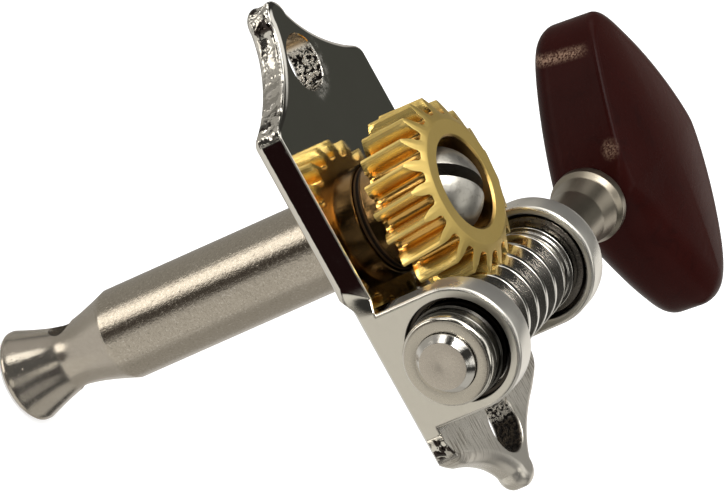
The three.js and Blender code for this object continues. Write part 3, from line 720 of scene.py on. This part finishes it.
def relief(side):
    """Cutter for the slanted back edge of the foot, with a ramp up to it."""
    face, high, deep, past = side * FOOT, 0.9, 1.5, 2
    slope = high / deep
    verts = []
    for y, drop in ((-16.15, 0), (-3.23, 0), (-1.58, high)):
        verts += [(face + side * past, y, -past - drop),
                  (face - side * (deep + past / slope), y, -past - drop),
                  (face + side * past, y, high + slope * past - drop)]
    faces = [(0, 1, 2), (8, 7, 6)]
    for k in (0, 3):
        for a, b in ((0, 1), (1, 2), (2, 0)):
            faces.append((k + a, k + 3 + a, k + 3 + b, k + b))
    return make("relief", verts, faces)


walls = [(plate_rim(h), h) for h in (
    0, 0.015, 0.06, 0.13, 0.22, 0.33, 0.45, 0.58, 0.75, 0.9, 1.05, 1.2, 1.35, 1.46, 1.56, 1.65,
    1.73, 1.8, 1.85, 1.88, 1.91, 1.94, 1.965, 1.985, 1.997, PLATE)]
plate = stacked("base_plate_body", plate_outline, walls, lambda x, y, h: (x, y, h))
combine(plate, lug(-1), "UNION")
combine(plate, lug(1), "UNION")
cut(plate, hole_z(UP_HOLE, 1.9, 0.06), hole_z(LOW_HOLE, 1.85, 0.16), hole_z(0, POST_R + 0.1, 0.1),
    relief(1), relief(-1),
    lathe("near_bore", [
        (0, -FOOT - 1), (4.49, -FOOT - 1), (3.49, -FOOT), (3.45, 0.04 - FOOT), (3.45, -7.65, 0.06),
        (3.2, -7.65, 0.03), (3.2, -6.08, 0.05), (3.33, -LUG_IN), (4.33, 1 - LUG_IN),
        (0, 1 - LUG_IN)], 112, "x"),
    bore_x(SHAFT_R + 0.1, LUG_IN, FOOT, 0.1),
    lathe("recess", [
        (0, LUG_IN - 2), (4.7, LUG_IN - 2), (3.7, LUG_IN), (3.55, 6.1, 0.05), (3.55, 6.85),
        (0, 6.85)], 96, "x"))
dress(plate, "plate", "base_plate", NICKEL)


# Bush, washers and ferrule

bush = lathe("worm_end_bush_body", [
    (2.0, -10.3, 0.03), (2.95, -10.3, 0.3), (2.95, -9.4, 0.03), (2.99, -9.35, 0.02),
    (2.99, -8.6, 0.03), (3.1, -8.6, 0.05), (3.1, -6.05, 0.1), (2.0, -6.05)], 144, "x", closed=True)
dress(bush, "plate", "worm_end_bush", BUSH)

thrust_bore, thrust_r, low, high = SHAFT_R + 0.1, 3.35, 6.25, 6.85
thrust = lathe("thrust_washer_body", [
    (thrust_bore, low), (thrust_r, low, 0.1), (thrust_r, high), (thrust_bore, high)],
    96, "x", closed=True)
dress(thrust, "plate", "thrust_washer", THRUST)

washer_bore, washer_r = POST_R + 0.1, 3.52
washer = lathe("hub_washer_body", [
    (washer_bore, PLATE), (washer_r, PLATE, 0.03), (washer_r, WASHER_TOP, 0.05),
    (washer_bore, WASHER_TOP)], 112, closed=True)
dress(washer, "plate", "hub_washer", FIBRE)

ferrule = lathe("knob_ferrule_body", [
    (1.5, 9.5), (1.95, 9.5, 0.12), (1.95, 14.4, 1.2), (2.2, 16.2, 0.5), (2.46, 16.65, 0.14),
    (2.46, 17.4, 0.14), (2.0, 17.4), (2.0, 18.7, 0.1), (1.5, 18.7)], 112, "x", closed=True, arc=8)
dress(ferrule, "worm", "knob_ferrule", FERRULE)


# String post

neck, flare = -18.6, -26.0
waist = [(POST_R, neck)]
waist += curve((POST_R, neck), (WAIST_R, (neck + 3 * WAIST_Z) / 4), (WAIST_R, WAIST_Z), 16)
waist += curve((WAIST_R, WAIST_Z), (WAIST_R, (flare + 3 * WAIST_Z) / 4), (POST_R, flare), 16)
post = lathe("string_post_body", [(0, WASHER_TOP), (POST_R, WASHER_TOP, 0.1), (POST_R, -18.56)]
             + waist + [(POST_R, -26.2, 0.05), (2.78, POST_END, 0.08), (0, POST_END)], 112)
string_hole = lathe("hole", [(0, -6), (0.9, -6), (0.9, 6), (0, 6)], 48)
string_hole = moved(turned(string_hole, math.pi / 2, "X"), (0, 0, WAIST_Z))
cut(turned(post, POST_TURN), turned(string_hole, POST_TURN))
combine(post, turned(box("tenon", (-1.6, -1.6, 2.2), (1.6, 1.6, 6.0)), POST_TURN), "UNION")
cut(post, lathe("bore", [(0, -1), (1.35, -0.3), (1.35, 8), (0, 8)], 48))
dress(post, "post", "string_post", POST)


# Worm wheel

def tooth_half_angle(radius):
    """Half the angle that a tooth takes up at a radius: an involute, with a fillet at its root."""
    slant = math.acos(min(1, PITCH_R * math.cos(PRESSURE) / radius))
    at_pitch = 0.74 / (2 * PITCH_R)
    involute = at_pitch + math.tan(PRESSURE) - PRESSURE - math.tan(slant) + slant
    fillet = max(0, (ROOT_R - radius) / 0.2)
    return 0.8 * involute + 0.03 * fillet ** 2


def wheel_teeth():
    radii = [4.63, 4.66, 4.7, 4.76, ROOT_R]
    radii += [ROOT_R + (TIP_R - ROOT_R) * k / 6 for k in range(1, 7)]
    outline = []
    for tooth in range(TEETH):
        centre = tooth * 2 * math.pi / TEETH
        flank = [(r, -tooth_half_angle(r)) for r in radii]
        flank += [(r, tooth_half_angle(r)) for r in reversed(radii)]
        outline += [(r * math.cos(centre + a), r * math.sin(centre + a)) for r, a in flank]
    twist = -PITCH / (2 * math.pi * THREAD_R) / PITCH_R

    def place(x, y, h):
        a = twist * (h - AXIS_Z)
        return (x * math.cos(a) - y * math.sin(a), x * math.sin(a) + y * math.cos(a), h)

    levels = [(0, WHEEL_LOW + (WHEEL_TOP - WHEEL_LOW) * k / 10) for k in range(11)]
    return stacked("worm_wheel_body", outline, levels, place)


wheel = wheel_teeth()
face_r, back_r, wide = 4.18, 5.1, 7.9
face_drop = 0.82 / (TIP_R - face_r) * (wide - face_r)
back_rise = 0.25 / (TIP_R - back_r) * (wide - back_r)
combine(wheel, lathe("envelope", [
    (0, WHEEL_LOW), (back_r, WHEEL_LOW), (wide, WHEEL_LOW + back_rise),
    (wide, WHEEL_TOP - face_drop), (face_r, WHEEL_TOP, 0.25), (0, WHEEL_TOP)], 120), "INTERSECT")
combine(wheel, lathe("hub", [
    (0, WASHER_TOP), (HUB_R, WASHER_TOP, 0.12), (HUB_R, 3.9), (0, 3.9)], 112), "UNION")
cut(wheel, lathe("counterbore", [
    (0, SEAT), (3.05, SEAT, 0.1), (3.05, 7.7, 0.05), (3.2, WHEEL_TOP), (4.2, WHEEL_TOP + 1),
    (0, WHEEL_TOP + 1)], 112), box("square", (-1.85, -1.85, 0), (1.85, 1.85, 7)))
soften(wheel, 0.035, 42, 2)
dress(turned(wheel, POST_TURN), "post", "worm_wheel", BRASS)


# Wheel screw

rise, head_r, top = 1.7, 2.72, 8.55
ball = (rise * rise + head_r * head_r) / (2 * rise)
dome = []
for k in range(15):
    a = math.asin(head_r / ball) * (1 - k / 14)
    dome.append((0 if k == 14 else ball * math.sin(a), top - ball * (1 - math.cos(a))))
screw = lathe("wheel_screw_body", [
    (0, 0.3), (0.94, 0.3), (1.25, 0.6), (1.25, SEAT), (2.6, SEAT, 0.05),
    (head_r, SEAT + 0.12, 0.05)] + dome, 112)
cut(screw, turned(box("slot", (-4, -SLOT_HALF, 7.1), (4, SLOT_HALF, 9.5)), SLOT))
soften(screw, 0.07, 45, 3)
dress(screw, "post", "wheel_screw", SCREW, 40)


# Worm shaft

def thread():
    """A threaded rod. Its whole surface is one helix, left-handed like the real thread."""
    slope, thick = math.tan(PRESSURE), 0.39
    crest = thick - slope * (THREAD_TIP - THREAD_R)
    valley = thick + slope * (THREAD_R - THREAD_ROOT)
    half = PITCH / 2
    profile = rounded([
        (-half, THREAD_ROOT), (-valley, THREAD_ROOT, 0.12), (-crest, THREAD_TIP, 0.1),
        (crest, THREAD_TIP, 0.1), (valley, THREAD_ROOT, 0.12), (half, THREAD_ROOT)], 4)[:-1]
    steps, turns, per, start = 96, 8, len(profile), math.radians(40)
    rows = turns * per + 1
    verts, index = [], {}

    def number(column, row):
        if column == steps:
            column, row = 0, row - per
        if (column, row) not in index:
            share, radius = profile[row % per]
            a = 2 * math.pi * column / steps + start
            x = (row // per) * PITCH + share + half - PITCH * column / steps - turns * PITCH / 2
            index[(column, row)] = len(verts)
            verts.append((x, AXIS_Y + radius * math.cos(a), AXIS_Z + radius * math.sin(a)))
        return index[(column, row)]

    faces = []
    for column in range(steps):
        for row in range(rows - 1):
            faces.append((number(column, row), number(column, row + 1),
                          number(column + 1, row + 1), number(column + 1, row)))
    for row, end in ((0, -turns * PITCH / 2 - half), (rows - 1, turns * PITCH / 2 - half)):
        middle = len(verts)
        verts.append((end, AXIS_Y, AXIS_Z))
        rim = [number(column, row) for column in range(steps + 1)]
        rim += [number(0, row - k) for k in range(per - 1, 0, -1)]
        for i, a in enumerate(rim):
            faces.append((middle, a, rim[(i + 1) % len(rim)]))
    return make("worm_shaft_body", verts, faces)


worm = thread()
taper = (THREAD_TIP - THREAD_ROOT) * 0.6
combine(worm, lathe("envelope", [
    (0, -THREAD_END), (THREAD_ROOT, -THREAD_END), (THREAD_TIP, taper - THREAD_END),
    (THREAD_TIP, THREAD_END - taper), (THREAD_ROOT, THREAD_END), (0, THREAD_END)], 96, "x"),
    "INTERSECT")
combine(worm, lathe("core", [
    (0, -10.915), (0.25, -10.92), (0.45, -10.94), (1.55, -10.935, 0.04), (1.58, -10.9, 0.04),
    (SHAFT_R, -10.5, 0.06), (SHAFT_R, -5.85), (2.6, -5.85, 0.1),
    (2.6, -THREAD_END, 0.1), (1.4, -4.2), (1.4, 4.2), (2.05, 4.66),
    (2.25, 4.68, 0.05), (2.25, 4.84, 0.04), (2.5, 4.88, 0.05), (2.5, 5.04, 0.04),
    (2.72, 5.08, 0.05), (2.72, 5.24, 0.04), (2.95, 5.3, 0.06), (2.95, 6.15, 0.1),
    (SHAFT_R, 6.15), (SHAFT_R, 9.4), (TANG_R, 9.4), (TANG_R, TANG_END, 0.2), (0, TANG_END)],
    112, "x"), "UNION")
dress(worm, "worm", "worm_shaft", WORM)


# Knob

def knob_body():
    """The knob's plan is made of two superellipse halves that meet at its widest place."""
    steps, edge, crisp, full, crown = 192, 1.18, 0.4, 2.5, 0.34
    inner, outer, half_length = 6.4, 4.75, KNOB_HALF - edge
    outline = []
    for k in range(steps):
        a = 2 * math.pi * k / steps
        c, s = math.cos(a), math.sin(a)
        bulge, power, turn = (inner, 2 / 1.14, 1.1) if c < 0 else (outer, 2 / 1.31, 0.35)
        across = bulge * abs(c) ** power
        share = (math.hypot(across, turn) - turn) / (math.hypot(bulge, turn) - turn)
        reach = half_length + (0.45 if s < 0 else 0)
        along = reach * max(0, 1 - share ** (2 / power)) ** (power / 2)
        outline.append((inner + math.copysign(across, c), math.copysign(along, s)))
    verts, faces, rings = [], [], []

    def bend(point, side):
        """Radius of the edge: crisp on the upper half's inner side, full below and behind."""
        near = crisp + (full - crisp) * smooth(-point[1], -2.2, 3.2)
        near += (1.4 - near) * smooth(point[0], inner - 2, inner + 2)
        return near if side > 0 else max(near, 1.9)

    def thin(y):
        return 1 - (1 - 2.5 / KNOB_THICK) * (y / KNOB_HALF) ** 2

    def ring(points, side):
        rings.append(range(len(verts), len(verts) + steps))
        for x, y, height in points:
            verts.append((x, y, side * height * thin(y)))

    for side in (-1, 1):
        order = []
        seam = inset(outline, lambda point: bend(point, side) - edge)
        bends = [bend(point, side) for point in outline]
        for share in (0.06, 0.2, 0.35, 0.5, 0.65, 0.8, 0.9, 0.96):
            height = KNOB_THICK + crown * (1 - share ** 2)
            order.append([(inner + (x - inner) * share, y * share, height) for x, y in seam])
        for k in range(12):
            a = math.pi / 2 * k / 11
            at = inset(outline, lambda point: bend(point, side) * (1 - math.sin(a)) - edge)
            order.append([(x, y, KNOB_THICK - r * (1 - math.cos(a)))
                          for (x, y), r in zip(at, bends)])
        if side > 0:
            order.reverse()
        for points in order:
            ring(points, side)
    for low, high in zip(rings, rings[1:]):
        for k in range(steps):
            m = (k + 1) % steps
            faces.append((low[k], low[m], high[m], high[k]))
    for side, rim in ((-1, rings[0]), (1, rings[-1])):
        centre = len(verts)
        verts.append((inner, 0.0, side * (KNOB_THICK + crown)))
        for k in range(steps):
            faces.append((centre, rim[k], rim[(k + 1) % steps]))
    tilted = turned(make("knob_body", verts, faces), KNOB_TILT, "X")
    return moved(tilted, (KNOB_START + edge, AXIS_Y, AXIS_Z))


knob = knob_body()
cut(knob, lathe("seat", [
    (0, 15), (2.1, 15), (2.1, 18.8), (TANG_R + 0.1, 18.8), (TANG_R + 0.1, TANG_END + 0.1),
    (0, TANG_END + 0.1)], 96, "x"))
dress(knob, "worm", "knob", PLASTIC, 50)


# Floor, world and lamps

def pale_floor():
    f = Finish("pale_floor")
    path = f.add("ShaderNodeLightPath")
    f.set(Base_Color=(0.86, 0.86, 0.86), Roughness=f.line(f.grain(0.02, 3), 0.1, 0.65),
          Specular_IOR_Level=0.1, Emission_Color=(1.0, 1.0, 1.0),
          Emission_Strength=f.times(path.outputs["Is Camera Ray"], 0.45))
    return f.material


floor_mesh = bpy.data.meshes.new("floor")
reach, floor_z = 6.0, -0.0265
floor_mesh.from_pydata([(-reach, -reach, floor_z), (reach, -reach, floor_z),
                        (reach, reach, floor_z), (-reach, reach, floor_z)], [], [(0, 1, 2, 3)])
floor = bpy.data.objects.new("floor", floor_mesh)
bpy.context.collection.objects.link(floor)
floor_mesh.materials.append(pale_floor())
floor.visible_glossy = False

world = bpy.data.worlds.new("studio")
bpy.context.scene.world = world
world.use_nodes = True
w = Net(world.node_tree)
way = w.add("ShaderNodeTexCoord").outputs["Generated"]


def toward(azimuth, elevation):
    """Unit vector of a direction in degrees."""
    a, e = math.radians(azimuth), math.radians(elevation)
    return (math.cos(a) * math.cos(e), math.sin(a) * math.cos(e), math.sin(e))


def patch(azimuth, elevation, inner, outer):
    """A soft round patch of the sky: 1 inside, 0 outside."""
    dot = w.vector("DOT_PRODUCT", way, toward(azimuth, elevation))
    return w.ramp(dot, math.cos(math.radians(outer)), math.cos(math.radians(inner)))


def layered(base, patches):
    """Lays patches of colour over a base colour, the last on top."""
    for azimuth, elevation, inner, outer, colour in patches:
        base = w.mix(patch(azimuth, elevation, inner, outer), base, colour)
    return base


# What polished metal mirrors: patches with azimuth, elevation, inner and outer radius in
# degrees, and a colour. The room is above, the table below.
room = layered((0.035, 0.034, 0.031), (
    (267, 2, 17, 32, (0.52, 0.505, 0.465)),
    (86, 3, 14, 38, (0.45, 0.43, 0.40)),
    (70, 30, 14, 26, (1.7, 1.66, 1.56)),
    (212, 4, 7, 17, (0.30, 0.29, 0.27)),
    (172, 15, 8, 17, (0.32, 0.31, 0.29)),
    (169, -5, 6, 12, (0.75, 0.73, 0.66)),
    (38, -9, 10, 18, (0.36, 0.345, 0.31)),
    (184, 18, 2, 6, (1.1, 1.08, 1.02)),
    (112, 5, 8, 13, (2.0, 1.95, 1.82)),
    (-32, 2, 16, 27, (0.95, 0.92, 0.86)),
    (-4, -2, 11, 20, (0.50, 0.48, 0.45)),
    (-11, 27, 9, 16, (0.060, 0.061, 0.053)),
    (-15, 62, 15, 27, (1.0, 0.99, 0.95)),
    (100, 60, 18, 30, (2.2, 2.16, 2.05)),
    (149, 32, 3, 6, (20.0, 19.0, 17.0)),
    (192, -10, 9, 15, (0.012, 0.005, 0.005)),
    (262, 58, 12, 20, (1.2, 1.18, 1.1))))
table = layered((0.66, 0.64, 0.60), (
    (275, -28, 22, 38, (0.44, 0.42, 0.38)),
    (28, -30, 22, 38, (0.36, 0.345, 0.315)),
    (75, -30, 22, 36, (0.38, 0.365, 0.33)),
    (121, -30, 11, 19, (2.1, 2.0, 1.82)),
    (154, -30, 12, 19, (0.09, 0.078, 0.066)),
    (208, -36, 18, 30, (0.74, 0.715, 0.655))))
sky = w.mix(w.ramp(w.axis(way, 2), -0.285, -0.345), room, table)
path = w.add("ShaderNodeLightPath")
shown = w.most(path.outputs["Is Glossy Ray"], path.outputs["Is Transmission Ray"])
light = w.mix(shown, (0.8, 0.8, 0.8), sky)
light = w.mix(path.outputs["Is Camera Ray"], light, (1.0, 1.0, 1.0))
emit = w.add("ShaderNodeBackground", {"Color": light, "Strength": 1.0})
w.add("ShaderNodeOutputWorld", {"Surface": emit.outputs[0]})


def lamp(name, azimuth, elevation, distance, size, watts):
    """A soft lamp that faces the part. Only the key lamp shows as a highlight in metal."""
    data = bpy.data.lights.new(name, "AREA")
    data.shape = "RECTANGLE"
    data.size, data.size_y = size
    data.energy = watts
    made = bpy.data.objects.new(name, data)
    bpy.context.collection.objects.link(made)
    away, middle = Vector(toward(azimuth, elevation)), Vector((0.01, 0, -0.008))
    made.location = away * distance + middle
    made.rotation_mode = "QUATERNION"
    made.rotation_quaternion = away.to_track_quat("Z", "Y")
    made.visible_glossy = name == "key"


lamp("key", 110, 55, 0.5, (0.25, 0.25), 1.2)
lamp("fill", 250, 35, 0.6, (0.35, 0.35), 0.8)

bpy.context.scene.view_settings.view_transform = "Standard"
